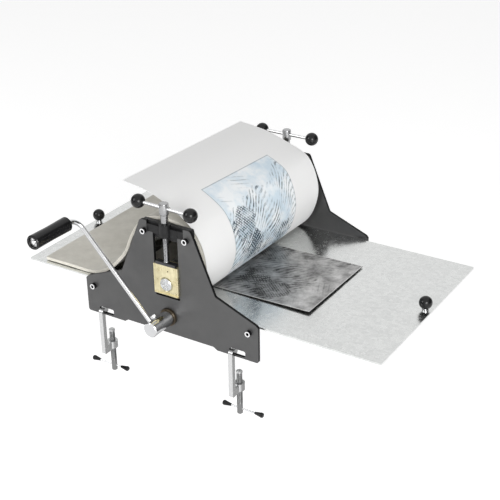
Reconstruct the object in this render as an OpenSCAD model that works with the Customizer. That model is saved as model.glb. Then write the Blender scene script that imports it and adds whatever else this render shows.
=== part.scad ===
// Table-top etching press: two steel side plates carry a pair of rollers,
// a sliding bed between them, two pressure screws above and four table clamps below.
// X runs along the bed towards the print, Y from the crank side to the far side, Z up.
// The origin is on the table top, midway between the plates, under the rollers.

/* [Side plates] */
// Clear width between the two side plates
plate_gap = 370; // [330:1:420]
// Thickness of each side plate
plate_t = 5; // [4:0.5:9]
// Height of the towers
plate_h = 200.5; // [198:0.5:220]
// Length of the feet along the bed
foot_l = 342; // [334:1:380]
// Height of the foot's outer shoulder
foot_h = 67; // [63:0.5:72]
// Width of the tower's top before its corners are rounded
tower_w = 97.4; // [94:0.2:104]
// Length of the recess between the feet
recess_l = 186; // [150:1:196]
// Height of the recess between the feet
recess_h = 4.5; // [4.2:0.1:6]
// Length of each hook slot
hook_slot_l = 30; // [28:0.5:32]
// Height of each hook slot
hook_slot_h = 10.8; // [10:0.1:13]
// Height of the hook slots' lower edge
hook_slot_z = 3; // [2.5:0.1:4]
// Distance of each hook slot's middle from the foot's end
hook_slot_inset = 39.5; // [38:0.5:43]

/* [Tie bars] */
// Diameter of the bars that tie the plates
tie_d = 12; // [10:0.5:14]
// Distance of each bar from the foot's end
tie_inset = 16.5; // [14:0.5:20]

/* [Bed] */
// Length of the bed
bed_l = 684; // [600:1:760]
// Thickness of the bed
bed_t = 3; // [2:0.1:4]
// How far the bed's middle stands forward of the rollers
bed_x = 35; // [0:1:60]
// Gap between the bed and each side plate
bed_side = 5; // [1:0.1:8]
// Distance from each stop knob to the bed's end
knob_inset = 10.4; // [9:0.1:20]
// Diameter of the black balls on the bed
ball_d = 22; // [18:0.5:24]

/* [Drive roller] */
// Height of the drive roller's axis
drive_z = 35.5; // [33:0.1:38]
// Diameter of the drive roller
drive_d = 43.4; // [40:0.1:46]
// Diameter of its shaft
drive_shaft_d = 16; // [14:0.2:18]
// Diameter of the bush flanges
bush_flange_d = 31; // [28:0.5:34]
// Thickness of the bush flanges
bush_flange_t = 5; // [3:0.1:6]

/* [Pressure roller] */
// Diameter of the upper roller
roller_d = 55.5; // [52:0.5:60]
// Diameter of the upper roller's journals
axle_d = 22; // [19:0.2:24]
// Gap between each end of the roller bodies and the plate
roller_side = 12; // [11.5:0.1:14]
// Thickness of each felt blanket
felt_t = 2.6; // [2:0.1:3]
// Thickness of the paper
paper_t = 0.5; // [0.3:0.05:0.8]
// Thickness of the etched plate
etch_t = 1.2; // [0.8:0.1:2]

/* [Bearing blocks and pressure screws] */
// Width of each bearing block
block_w = 47.2; // [44:0.2:50]
// Height of each block above the roller's axis
block_up = 33.6; // [30:0.2:35]
// Height of each block below the roller's axis
block_down = 18.4; // [17:0.2:20]
// Thickness of each block across the plate
block_t = 19; // [17:0.5:19.5]
// How far each block stands out from the plate
block_out = 3.5; // [3:0.1:6]
// Space left below each block when it is screwed right down
slot_room = 5.3; // [0.5:0.1:8]
// Thickness of the steel pad on each block
pad_t = 5; // [3:0.5:6]
// Diameter of the pressure screws
screw_d = 10; // [9:0.1:11]
// Pitch of the pressure screws
screw_pitch = 1.5; // [1.25:0.05:1.75]
// Diameter of the neck between the thread and the hub
neck_d = 12; // [11.5:0.1:13]
// Diameter of the T handle's hub
hub_d = 15.5; // [14.5:0.5:19]
// Height of the T handle's hub
hub_h = 20; // [18:0.5:24]
// Distance from the crosshead's top to the hub
hub_gap = 17; // [12:0.5:20]
// Diameter of the T handle's bar
tee_d = 5.6; // [5:0.1:7]
// Distance of each ball's centre from the screw
tee_r = 52; // [46:0.5:60]
// Diameter of the T handles' balls
tee_ball_d = 23.5; // [20:0.5:26]
// Turn of the near T handle from the bed's direction
near_tee_turn = -2.8; // [-20:0.1:20]
// Turn of the far T handle from the bed's direction
far_tee_turn = -0.5; // [-20:0.1:20]

/* [Crossheads and screws] */
// Height of each crosshead's nose in the slot
nose_h = 20; // [18:0.5:22]
// Half length of the ears that lie in the plate's top
ear_half = 35; // [32:0.2:36]
// Height of the ears
ear_h = 12.3; // [10:0.1:14]
// Half length of the bar behind the plate
bar_half = 48; // [47:0.5:52]
// Thickness of the bar behind the plate
bar_t = 8; // [6:0.5:8]
// Diameter of the round boss about the screw
boss_d = 19; // [17.5:0.5:20]
// Diameter of the cap screws' shanks
cap_d = 6; // [5:0.5:6]
// Distance of the crosshead's cap screws from the middle
cap_x = 40.5; // [38:0.5:43]
// Height of the crosshead's cap screws below the tower's top
cap_drop = 18.5; // [16:0.5:22]

/* [Crank] */
// Distance from the drive axis to the grip's axis
crank_r = 215; // [180:1:240]
// Lean of the crank from upright towards the rear
crank_lean = 42.7; // [0:0.1:90]
// Diameter of the crank rod
rod_d = 8; // [7:0.2:9]
// Radius of the rod's bend
rod_bend = 18; // [12:0.5:24]
// Diameter of the crank hub
crank_hub_d = 25.6; // [24:0.2:30]
// Length of the crank hub
crank_hub_l = 46.7; // [44:0.1:56]
// Distance from the hub's outer end to the crank rod
rod_inset = 12; // [8:0.1:14]
// Distance from the hub's outer end to its lock screw
lock_inset = 23.5; // [21:0.1:28]
// Diameter of the grip
grip_d = 24.5; // [20:0.5:28]
// Length of the grip
grip_l = 82; // [70:1:100]

/* [Table clamps] */
// Width of the clamp's bar along the bed
clamp_w = 8; // [7:0.5:9]
// Thickness of the clamp's bar across the plate
clamp_t = 8; // [7:0.5:9]
// Depth of the clamp's mouth from the feet to the lower arm
throat = 61; // [58:1:64]
// Height of the lower arm
arm_h = 14; // [12:0.5:16]
// Distance from the clamp's back to the screw's axis
clamp_reach = 26; // [24:0.5:40]
// Shift of each rear hook from the middle of its slot
rear_hook_shift = -7.5; // [-8:0.5:6]
// Shift of each front hook from the middle of its slot
front_hook_shift = -8.5; // [-9:0.5:6]
// Diameter of the clamp screws
jack_d = 9.9; // [8:0.1:10.5]
// Length of each clamp screw
jack_l = 82.1; // [78:0.1:90]
// Height of the clamp screws' tops below the feet
jack_top = 37.5; // [34:0.5:42]
// Diameter of the tommy bars
tommy_d = 3; // [2.5:0.1:4]
// Distance between the middles of a tommy bar's caps
tommy_l = 62; // [58:0.5:75]
// Length of each tommy bar cap
tommy_cap_l = 16; // [12:0.5:18]
// Diameter of each cap's outer end
tommy_cap_d = 9; // [7:0.5:10]
// How far the rear tommy bars have slid
rear_tommy_slide = -8; // [-17.5:0.5:17.5]
// How far the front tommy bars have slid
front_tommy_slide = 6; // [-17.5:0.5:17.5]

/* [Blankets, paper and etched plate] */
// Gap between the blankets and each side plate
felt_side = 13; // [9:0.5:16]
// How much the blanket loop swells at the far side
felt_swell = 8; // [2:0.5:9]
// How far the arch of the blankets stands forward of the rollers
arch_reach = 62; // [60:0.5:68]
// Height of the arch above the bed
arch_top = 143; // [138:0.5:160]
// Distance from the blankets' ends to the rear stop knob
felt_end_gap = 21.6; // [16:0.1:60]
// Near edge of the paper from the near plate's inner face
paper_near = 15; // [9:0.5:20]
// Far edge of the paper from the far plate's inner face
paper_far = 10; // [9:0.5:40]
// Length of the etched plate
etch_l = 239; // [200:1:280]
// Width of the etched plate
etch_w = 187; // [150:1:230]
// Front edge of the etched plate
etch_x = 214; // [180:1:240]
// Middle of the etched plate across the bed
etch_y = -12; // [-30:1:30]

/* [Clearances] */
// Gap between a roller and the flat that it runs on
run_gap = 0.3; // [0.25:0.05:0.5]
// Radial clearance of a turning shaft in its hole
turn_gap = 0.05; // [0.02:0.01:0.1]
// Clearance of a bearing block in its slot on each side
slot_gap = 0.2; // [0.1:0.05:0.4]
// Gap between two soft layers
soft_gap = 0.1; // [0.05:0.05:0.3]

/* [Hidden] */
$fn = 64;
corners = ["near_rear", "near_front", "far_rear", "far_front"];

// Along and across the press
hook_slot_x = foot_l / 2 - hook_slot_inset;
tie_x = foot_l / 2 - tie_inset;
inner_y = plate_gap / 2;
outer_y = inner_y + plate_t;
bed_w = plate_gap - 2 * bed_side;
roller_l = plate_gap - 2 * roller_side;
felt_w = plate_gap - 2 * felt_side;

// Heights
bed_under = drive_z + drive_d / 2 + run_gap;
bed_top = bed_under + bed_t;
tie_z = bed_under - run_gap - tie_d / 2;
paper_z = bed_top + etch_t + run_gap;
felt_z = paper_z + paper_t + run_gap;
nip = etch_t + paper_t + 2 * felt_t + soft_gap + 3 * run_gap;
roller_z = bed_top + nip + roller_d / 2;
down_turns = 1;
up_turns = 24;

// Bearing block, pad, crosshead and pressure screw
slot_w = block_w + 2 * slot_gap;
slot_z = roller_z - block_down - down_turns * screw_pitch - slot_room;
pad_z = roller_z + block_up;
nose_top = plate_h + 0.5;
nose_z = nose_top - nose_h;
bar_low = nose_z - 8.5;
bar_high = nose_top - 1.5;
ear_z = nose_z + 1.7;
ear_top = ear_z + ear_h;
block_y = outer_y + block_out - block_t / 2;
screw_y = outer_y - 1;
pad_w = 38;
pad_y = 9;
screw_low = pad_z + pad_t + 0.2;
neck_z = nose_top + 1 + down_turns * screw_pitch + 0.4;
hub_z = nose_top + hub_gap;
tee_z = hub_z + hub_h * 0.55;
cap_z = plate_h - cap_drop;
cap_head_d = 10;
cap_head_h = cap_d;
collar_d = cap_d + 0.4;

// Crank
hub_y = outer_y + bush_flange_t + run_gap;
hub_end = hub_y + crank_hub_l;
rod_y = hub_end - rod_inset;
lock_y = hub_end - lock_inset;
shaft_end = rod_y - rod_d / 2 - 1;
grip_y = rod_y + rod_bend + 4;
grip_end = grip_y + grip_l;

// Clamps
hook_z = hook_slot_z + 0.2;
clamp_back = outer_y + 0.5 + clamp_t;
jack_y = clamp_back - clamp_reach;
tommy_z = -(jack_top + jack_l - 9.6);
tip_d = jack_d + 1;
tip_t = 3.5;
clamp_boss_d = jack_d + 8;
cap_fit = tommy_d + 1.5;

// Stop knobs
knob_x = bed_l / 2 - knob_inset;
knob_z = bed_top + 3 + ball_d / 2;
stem_d = 6;

steel = [0.78, 0.79, 0.8];
chrome = [0.86, 0.87, 0.88];
black = [0.07, 0.07, 0.075];
paint = [0.2, 0.2, 0.21];
brass = [0.78, 0.64, 0.36];
zinc = [0.75, 0.75, 0.76];

// The two sides: the near side has negative y, the far side is its mirror
module side(is_near) { mirror([0, is_near ? 0 : 1, 0]) children(); }

// Outline whose corners [x, y, radius] are rounded
function unit(v) = v / norm(v);
function corner_arc(a, b, c) =
    let (p = [b[0], b[1]],
         u = unit([a[0], a[1]] - p),
         v = unit([c[0], c[1]] - p),
         half = acos(max(-1, min(1, u * v))) / 2,
         o = p + unit(u + v) * b[2] / sin(half),
         s = p + u * b[2] / tan(half) - o,
         e = p + v * b[2] / tan(half) - o,
         a0 = atan2(s[1], s[0]),
         da = (atan2(e[1], e[0]) - a0 + 540) % 360 - 180)
    b[2] == 0 ? [p] : [for (i = [0:6]) o + b[2] * [cos(a0 + da * i / 6), sin(a0 + da * i / 6)]];
function rounded(c) = [for (i = [0:len(c) - 1]) each
    corner_arc(c[(i + len(c) - 1) % len(c)], c[i], c[(i + 1) % len(c)])];
function mirrored(c) = concat(c, [for (i = [len(c) - 1:-1:0]) [-c[i][0], c[i][1], c[i][2]]]);

// A flat shape drawn in x and z, running from y0 to y1
module slab(y0, y1) {
    translate([0, max(y0, y1), 0]) rotate([90, 0, 0]) linear_extrude(abs(y1 - y0)) children();
}
// A round rod along y, its height z and place x given
module rod_along_y(d, x, z, y0, y1) {
    translate([x, max(y0, y1), z]) rotate([90, 0, 0]) cylinder(d = d, h = abs(y1 - y0));
}
// A turned shape about the y axis, from [radius, y] corners
module turned_along_y(x, z, profile) {
    translate([x, 0, z]) rotate([-90, 0, 0]) rotate_extrude() polygon(profile);
}

// Side plate: one profile cut from thick sheet, open at the top for the bearing block
module side_plate() {
    h = foot_l / 2;
    color(paint) difference() {
        slab(-outer_y, -inner_y) difference() {
            polygon(rounded(mirrored([
                [recess_l / 2 - 7, recess_h, 1], [recess_l / 2, 0, 1], [h, 0, 4], [h, foot_h - 4, 1.5],
                [h - 4, foot_h, 1.5], [h - 79, foot_h + 30, 5], [tower_w / 2, plate_h, 6],
                [ear_half + slot_gap, plate_h, 1], [ear_half + slot_gap, ear_z - slot_gap, 1],
                [slot_w / 2, ear_z - slot_gap, 1], [slot_w / 2, slot_z, 1.5]])));
            for (s = [-1, 1]) hook_slot(s * hook_slot_x);
        }
        rod_along_y(bush_body_d, 0, drive_z, -outer_y - 1, -inner_y + 1);
        for (s = [-1, 1]) {
            rod_along_y(collar_d, s * tie_x, tie_z, -outer_y - 1, -inner_y + 1);
            rod_along_y(collar_d, s * cap_x, cap_z, -outer_y - 1, -inner_y + 1);
        }
    }
}
bush_body_d = drive_shaft_d + 6;

module hook_slot(x) {
    w = hook_slot_l / 2;
    translate([x, hook_slot_z]) polygon(rounded([[-w, 0, 3], [w, 0, 3],
        [w, hook_slot_h, 3], [-w, hook_slot_h, 3]]));
}

// Crosshead: a nose that fills the slot, ears in the plate's top, a bar behind and a boss
module crosshead() {
    color(black) difference() {
        union() {
            slab(-outer_y, -inner_y + 0.01)
                polygon(rounded([[-block_w / 2, nose_z, 1.5], [block_w / 2, nose_z, 1.5],
                    [block_w / 2, ear_top, 1], [-block_w / 2, ear_top, 1]]));
            slab(-outer_y + 0.4, -inner_y + 0.01)
                polygon(rounded([[-ear_half, ear_z, 1.5], [ear_half, ear_z, 1.5],
                    [ear_half, ear_top, 1], [-ear_half, ear_top, 1]]));
            slab(-inner_y, -inner_y + bar_t)
                polygon(rounded([[-bar_half, bar_low, 3], [bar_half, bar_low, 3],
                    [bar_half, bar_high, 3], [-bar_half, bar_high, 3]]));
            translate([0, -screw_y, nose_z]) cylinder(d = boss_d, h = nose_h + 1);
        }
        translate([0, -screw_y, bar_low - 1]) cylinder(r = screw_d / 2 + turn_gap, h = nose_top - bar_low + 3);
        for (s = [-1, 1])
            rod_along_y(cap_d + 0.2, s * cap_x, cap_z, -inner_y - 1, -inner_y + bar_t + 1);
    }
}

// Socket cap screws: two hold the crosshead, two hold the tie bars
module cap_screw(x, z, deep) {
    under = -outer_y;
    color(zinc) difference() {
        turned_along_y(x, z, [[0, under - cap_head_h], [cap_head_d / 2 - 0.6, under - cap_head_h],
            [cap_head_d / 2, under - cap_head_h + 0.6], [cap_head_d / 2, under],
            [cap_d / 2, under], [cap_d / 2, -inner_y + deep], [0, -inner_y + deep]]);
        translate([x, under - cap_head_h + cap_d / 2, z]) rotate([90, 0, 0])
            cylinder(d = cap_d * 0.96, h = cap_d, $fn = 6);
    }
}
module cap_screws() {
    for (s = [-1, 1]) {
        cap_screw(s * cap_x, cap_z, bar_t - 1);
        cap_screw(s * tie_x, tie_z, 11);
    }
}
// Tie bar: turned steel, drilled and tapped at both ends for the cap screws
module tie_bar(s) {
    color(steel) difference() {
        turned_along_y(s * tie_x, tie_z, [[0, -inner_y], [tie_d / 2 - 0.8, -inner_y],
            [tie_d / 2, -inner_y + 0.8], [tie_d / 2, inner_y - 0.8], [tie_d / 2 - 0.8, inner_y],
            [0, inner_y]]);
        for (e = [-1, 1])
            rod_along_y(cap_d + 0.2, s * tie_x, tie_z, e * (inner_y + 1), e * (inner_y - 14));
    }
}

// Flanged bush: pressed into the plate from outside, its flange against the plate
module drive_bush() {
    r = drive_shaft_d / 2 + turn_gap;
    color([0.2, 0.17, 0.14]) turned_along_y(0, drive_z, [[r, -outer_y - bush_flange_t],
        [bush_flange_d / 2 - 0.8, -outer_y - bush_flange_t],
        [bush_flange_d / 2, -outer_y - bush_flange_t + 0.8], [bush_flange_d / 2, -outer_y],
        [bush_body_d / 2, -outer_y], [bush_body_d / 2, -inner_y + 1], [r, -inner_y + 1]]);
}

// Bed: one flat sheet with small round corners, drilled for the two stop knobs
module bed() {
    color(steel) difference() {
        translate([bed_x, 0, bed_under]) linear_extrude(bed_t)
            polygon(rounded([[-bed_l / 2, -bed_w / 2, 3], [bed_l / 2, -bed_w / 2, 3],
                [bed_l / 2, bed_w / 2, 3], [-bed_l / 2, bed_w / 2, 3]]));
        for (s = [-1, 1])
            translate([bed_x + s * knob_x, 0, bed_under - 1]) cylinder(d = stem_d, h = bed_t + 2);
    }
}
module stop_stem(s) {
    color(chrome) translate([bed_x + s * knob_x, 0, 0]) rotate_extrude()
        polygon([[0, bed_under + 0.2], [stem_d / 2, bed_under + 0.2], [stem_d / 2, bed_top],
            [5.5, bed_top], [5.5, bed_top + 2], [5, bed_top + 2.5], [stem_d / 2, bed_top + 2.5],
            [stem_d / 2, knob_z + 4], [0, knob_z + 4]]);
}
// Ball knob: a black ball with a small flat where the stem enters
module ball(d, bore, deep) {
    color(black) difference() {
        sphere(d = d);
        translate([-d, -d, -d * 1.47]) cube([2 * d, 2 * d, d]);
        translate([0, 0, -d]) cylinder(d = bore, h = d + deep);
    }
}
module stop_ball(s) {
    translate([bed_x + s * knob_x, 0, knob_z]) ball(ball_d, stem_d, 4);
}

// Drive roller: turned in one with its shaft
module drive_roller() {
    r = drive_d / 2;
    e = roller_l / 2;
    color(steel) turned_along_y(0, drive_z, [[0, -shaft_end], [drive_shaft_d / 2, -shaft_end],
        [drive_shaft_d / 2, -e], [r - 1, -e], [r, -e + 1], [r, e - 1], [r - 1, e],
        [drive_shaft_d / 2, e], [drive_shaft_d / 2, outer_y + bush_flange_t + 1],
        [drive_shaft_d / 2 - 1, outer_y + bush_flange_t + 2], [0, outer_y + bush_flange_t + 2]]);
}
// Pressure roller: heavier, with a journal and a centre mark in each bearing block
module pressure_roller() {
    r = roller_d / 2;
    e = roller_l / 2;
    a = axle_d / 2;
    t = block_y + block_t / 2 + 1.5;
    color(steel) turned_along_y(0, roller_z, [
        [0, -t + 2.5], [1.6, -t], [a - 2.8, -t], [a - 2.8, -t + 0.5], [a - 1.8, -t + 0.5], [a - 1.8, -t],
        [a - 0.6, -t], [a, -t + 0.6], [a, -e], [r - 1.5, -e], [r, -e + 1.5],
        [r, e - 1.5], [r - 1.5, e], [a, e], [a, t - 0.6], [a - 0.6, t],
        [a - 1.8, t], [a - 1.8, t - 0.5], [a - 2.8, t - 0.5], [a - 2.8, t], [1.6, t], [0, t - 2.5]]);
}

// Crank: a hub on the shaft, a rod through the hub, and a grip that turns on the rod
module in_crank_plane() {
    translate([0, -rod_y, drive_z]) rotate([0, -crank_lean, 0]) children();
}
module crank_hub() {
    y0 = -hub_end;
    color(chrome) difference() {
        turned_along_y(0, drive_z, [[0, y0], [crank_hub_d / 2 - 1, y0], [crank_hub_d / 2, y0 + 1],
            [crank_hub_d / 2, -hub_y - 0.6], [crank_hub_d / 2 - 0.6, -hub_y], [0, -hub_y]]);
        rod_along_y(drive_shaft_d, 0, drive_z, -shaft_end, -hub_y + 1);
        in_crank_plane() translate([0, 0, rod_foot]) cylinder(d = rod_d, h = crank_hub_d * 2);
        in_crank_plane() translate([0, rod_y - lock_y, 0]) cylinder(d = lock_d, h = crank_hub_d);
    }
}
rod_foot = 1 - crank_hub_d / 2;
lock_d = 6;
module crank_lock_screw() {
    low = drive_shaft_d / 2;
    top = crank_hub_d / 2;
    color(zinc) in_crank_plane() translate([0, rod_y - lock_y, 0]) {
        translate([0, 0, low]) cylinder(d = lock_d, h = top - low + 1);
        translate([0, 0, top + 0.4]) cylinder(d = 11, h = 4.2, $fn = 6);
    }
}
module crank_rod() {
    up = crank_r - rod_bend;
    color(chrome) in_crank_plane() {
        translate([0, 0, rod_foot]) cylinder(d = rod_d, h = up - rod_foot);
        translate([0, -rod_bend, up]) rotate([90, 0, 90])
            rotate_extrude(angle = 90) translate([rod_bend, 0]) circle(d = rod_d);
        translate([0, -rod_bend, crank_r]) rotate([90, 0, 0])
            cylinder(d = rod_d, h = grip_end - 6 - rod_y - rod_bend);
    }
}
module on_grip_axis() {
    in_crank_plane() translate([0, rod_y, crank_r]) rotate([-90, 0, 0]) children();
}
// Grip: a black sleeve, slightly waisted, with its outer end recessed
module crank_grip() {
    r = grip_d / 2;
    b = rod_d / 2 + turn_gap;
    color(black) on_grip_axis() rotate_extrude() polygon([
        [b, -grip_y], [r - 2, -grip_y], [r, -grip_y - 2], [r - 0.6, -grip_y - grip_l / 2],
        [r, -grip_end + 2], [r - 1.5, -grip_end], [r - 3.5, -grip_end], [r - 3.5, -grip_end + 5.7],
        [b, -grip_end + 5.7]]);
}
module grip_retainer() {
    color(zinc) on_grip_axis() rotate_extrude()
        polygon([[0, -grip_end + 2.4], [3.4, -grip_end + 2.4], [4, -grip_end + 3.2],
            [4, -grip_end + 4.2], [grip_d / 2 - 4.4, -grip_end + 4.2],
            [grip_d / 2 - 4.4, -grip_end + 5.4], [rod_d / 2, -grip_end + 5.4],
            [rod_d / 2, -grip_end + 6], [0, -grip_end + 6]]);
}

// Bearing block: brass, bored for the journal and drilled for oil from its outer face
module bearing_block() {
    y0 = block_y - block_t / 2;
    y1 = block_y + block_t / 2;
    low = roller_z - block_down;
    bore_r = axle_d / 2 + turn_gap;
    oil_x = 4.5;
    oil_drop = 9.2;
    color(brass) difference() {
        union() {
            slab(-y1, -y0) polygon(rounded([[-block_w / 2, low, 1.5], [block_w / 2, low, 1.5],
                [block_w / 2, pad_z, 1.5], [-block_w / 2, pad_z, 1.5]]));
            translate([1 - block_w / 2, -y1 - 1.2, low]) cube([block_w - 2, 2, 2]);
        }
        rod_along_y(axle_d + 2 * turn_gap, 0, roller_z, -y1 - 1, -y0 + 1);
        translate([0, -y1 - 0.01, roller_z]) rotate([-90, 0, 0])
            cylinder(r1 = bore_r + 2.4, r2 = bore_r, h = 1.2);
        rod_along_y(2.8, oil_x, pad_z - oil_drop, -y1 - 1, -block_y);
        translate([oil_x, -block_y, roller_z]) cylinder(d = 2.8, h = block_up - oil_drop);
    }
}
module pad() {
    color([0.3, 0.3, 0.31]) difference() {
        translate([-pad_w / 2, -screw_y - pad_y / 2, pad_z]) cube([pad_w, pad_y, pad_t]);
        translate([0, -screw_y, pad_z + pad_t - 2.2]) cylinder(d = 7, h = 3);
    }
}
// Pressure screw: turned with its hub, which is cross-drilled for the T bar
module pressure_screw(turn) {
    r = screw_d / 2;
    h = hub_d / 2;
    top = hub_z + hub_h;
    color(chrome) difference() {
        translate([0, -screw_y, 0]) rotate_extrude() polygon([[0, screw_low - 1.8],
            [3.4, screw_low - 1.8], [3.4, screw_low], [r - 0.8, screw_low], [r, screw_low + 0.8],
            [r, neck_z], [neck_d / 2, neck_z + 0.8], [neck_d / 2, hub_z], [h - 1.2, hub_z],
            [h, hub_z + 1.2], [h, top - 2], [h - 2, top], [0, top]]);
        translate([0, -screw_y, tee_z]) rotate([0, 90, turn]) cylinder(d = tee_d, h = 3 * h, center = true);
    }
}
module tee_bar(turn) {
    color(chrome) translate([0, -screw_y, tee_z]) rotate([0, 90, turn])
        cylinder(d = tee_d, h = 2 * tee_r + 8, center = true);
}
module tee_balls(turn) {
    translate([0, -screw_y, tee_z]) rotate([0, 0, turn])
        for (s = [-1, 1]) translate([s * tee_r, 0, 0]) rotate([0, s * 90, 0]) ball(tee_ball_d, tee_d, 4);
}

// Table clamp: a bar hooked through the plate's slot, bent down to an arm with a threaded boss
module clamp(x) {
    t = clamp_t;
    low = -throat - arm_h;
    color(zinc) difference() {
        union() {
            translate([x - clamp_w / 2, 0, 0]) rotate([90, 0, 90]) linear_extrude(clamp_w)
                polygon(rounded([[-clamp_back, low, 2], [-jack_y, low, 0], [-jack_y, -throat, 0],
                    [-clamp_back + t, -throat, 2], [-clamp_back + t, hook_z, 0.2],
                    [-inner_y + 3, hook_z, 1.5], [-inner_y + 3, hook_z + clamp_hook_h, 1.5],
                    [-clamp_back, hook_z + clamp_hook_h, 6]]));
            translate([x, -jack_y, low + 2]) cylinder(d = clamp_boss_d, h = arm_h - 0.5);
        }
        translate([x, -jack_y, low - 1]) cylinder(r = jack_d / 2 + turn_gap, h = arm_h + 4);
    }
}
clamp_hook_h = 8;
// Swivel tip: a small disc on a pin that sits in the screw's end
module clamp_tip(x) {
    color(steel) translate([x, -jack_y, 0]) rotate_extrude()
        polygon([[0, -jack_top - tip_t - 6], [2, -jack_top - tip_t - 6], [2, -jack_top - tip_t],
            [tip_d / 2, -jack_top - tip_t], [tip_d / 2, -jack_top - 0.8], [tip_d / 2 - 0.8, -jack_top],
            [0, -jack_top]]);
}
module clamp_screw(x) {
    r = jack_d / 2;
    z1 = -jack_top - tip_t - 0.2;
    z0 = -jack_top - jack_l;
    color(zinc) difference() {
        translate([x, -jack_y, 0]) rotate_extrude() polygon([[0, z0], [r - 1, z0], [r, z0 + 1],
            [r, z1 - 0.8], [r - 0.8, z1], [2 + turn_gap, z1], [2 + turn_gap, z1 - 6.5], [0, z1 - 6.5]]);
        translate([x, -jack_y, tommy_z]) rotate([0, 90, 0])
            cylinder(r = tommy_d / 2 + turn_gap, h = 2 * jack_d, center = true);
    }
}
module tommy_bar(x) {
    color(chrome) translate([x, -jack_y, tommy_z]) rotate([0, 90, 0])
        cylinder(d = tommy_d, h = tommy_l + tommy_cap_l - 4, center = true);
}
module tommy_caps(x) {
    l = tommy_cap_l;
    color(black) translate([x, -jack_y, tommy_z]) for (s = [-1, 1]) rotate([0, s * 90, 0])
        translate([0, 0, (tommy_l - l) / 2]) rotate_extrude()
            polygon([[tommy_d / 2, 0], [cap_fit / 2, 0], [tommy_cap_d / 2, l - 3],
                [tommy_cap_d / 2 - 0.4, l - 1], [tommy_cap_d / 2 - 1.6, l], [0, l], [0, l - 2],
                [tommy_d / 2, l - 2]]);
}

// Blankets and paper. Their edges are curves in x and z through points from the bed's top
function spline(p, n) = let (k = len(p) - 1) concat([for (i = [0:k - 1]) for (j = [0:n - 1])
    let (a = p[max(i - 1, 0)], b = p[i], c = p[i + 1], d = p[min(i + 2, k)], t = j / n)
    (2 * b + (c - a) * t + (2 * a - 5 * b + 4 * c - d) * t * t
     + (3 * b - a - 3 * c + d) * t * t * t) / 2], [p[k]]);
// Curve q moved sideways by d, towards its left
function shifted(q, d) = [for (i = [0:len(q) - 1])
    let (t = unit(q[min(i + 1, len(q) - 1)] - q[max(i - 1, 0)])) q[i] + d * [-t[1], t[0]]];
// A closed sheet of thickness t on the left of the curves a (at y0) and b (at y1)
module sheet(a, b, y0, y1, d, t, rows) {
    n = len(a);
    m = rows;
    function layer(o) = let (p = shifted(a, o), q = shifted(b, o)) [for (r = [0:m]) for (i = [0:n - 1])
        let (s = r / m, v = p[i] * (1 - s) + q[i] * s) [v[0], y0 + (y1 - y0) * s, v[1]]];
    pts = concat(layer(d), layer(d + t));
    k = n * (m + 1);
    quads = concat(
        [for (r = [0:m - 1]) for (i = [0:n - 2]) [r * n + i, r * n + i + 1, (r + 1) * n + i + 1, (r + 1) * n + i]],
        [for (r = [0:m - 1]) for (i = [0:n - 2])
            [k + r * n + i, k + (r + 1) * n + i, k + (r + 1) * n + i + 1, k + r * n + i + 1]],
        [for (i = [0:n - 2]) [k + i, k + i + 1, i + 1, i]],
        [for (i = [0:n - 2]) [m * n + i, m * n + i + 1, k + m * n + i + 1, k + m * n + i]],
        [for (r = [0:m - 1]) [r * n, (r + 1) * n, k + (r + 1) * n, k + r * n]],
        [for (r = [0:m - 1]) [k + r * n + n - 1, k + (r + 1) * n + n - 1, (r + 1) * n + n - 1, r * n + n - 1]]);
    polyhedron(pts, [for (f = quads) each [[f[0], f[2], f[1]], [f[0], f[3], f[2]]]]);
}
// Outer face of the blankets: flat under the roller, a loose arch over it, flat on the bed
felt_low = felt_z - bed_top;
felt_lie = etch_t + run_gap + 2 * felt_t + soft_gap;
felt_end = knob_x - bed_x - felt_end_gap;
function felt_edge(w) = [for (p = concat(
    [[-120, felt_low], [-60, felt_low], [-15, felt_low], [4, felt_low], [16, felt_low + 0.9]],
    [for (q = [[0.55, 0.091, 0.35], [0.79, 0.189, 0.7], [0.944, 0.336, 1], [1, 0.49, 1],
        [0.935, 0.664, 1], [0.79, 0.811, 1], [0.55, 0.916, 1], [0.274, 0.976, 0.9],
        [-0.065, 1, 0.7], [-0.45, 0.993, 0.4], [-0.806, 0.944, 0.15], [-1.1, 0.832, 0],
        [-1.35, 0.664, 0], [-1.532, 0.483, 0], [-1.669, 0.388, 0], [-1.839, 0.304, 0],
        [-2.016, 0.22, 0], [-2.21, 0.154, 0], [-2.452, 0.0925, 0]])
        [q[0] * arch_reach + q[2] * w, q[1] * arch_top]],
    [[-2.839 * arch_reach, felt_lie], [-(2.839 * arch_reach + felt_end) / 2, felt_lie],
        [-felt_end, felt_lie]])) [p[0], p[1] + bed_top]];
module blanket(layer) {
    near_edge = spline(felt_edge(0), 2);
    far_edge = spline(felt_edge(felt_swell), 2);
    color([0.86, 0.84, 0.78])
        sheet(near_edge, far_edge, -felt_w / 2, felt_w / 2, layer * (felt_t + soft_gap), felt_t, 2);
}
// Paper: held under the blankets, rising over their front and back past the top
paper_low = paper_z - bed_top + paper_t;
near_paper = [[-30, paper_low], [-8, paper_low], [8, paper_low], [21, paper_low + 0.9], [36.5, 9.5], [51.5, 26], [61, 48],
    [64.3, 70], [60.6, 95.5], [51.8, 117], [36.5, 136.5], [4, 159], [-35, 181], [-78.7, 192.5]];
far_paper = [[-30, paper_low], [-8, paper_low], [8, paper_low], [25, paper_low + 0.9], [44.5, 9], [60.5, 29], [70.5, 54],
    [74.5, 79], [70.8, 104], [60, 130], [45, 145], [10, 156.5], [-42, 169], [-106.6, 174]];
module paper() {
    function at(p) = spline([for (q = p) [q[0], q[1] + bed_top]], 4);
    y0 = -inner_y + paper_near;
    color([0.96, 0.96, 0.95]) sheet(at(near_paper), at(far_paper), y0, inner_y - paper_far, -paper_t, paper_t, 4);
}
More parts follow.
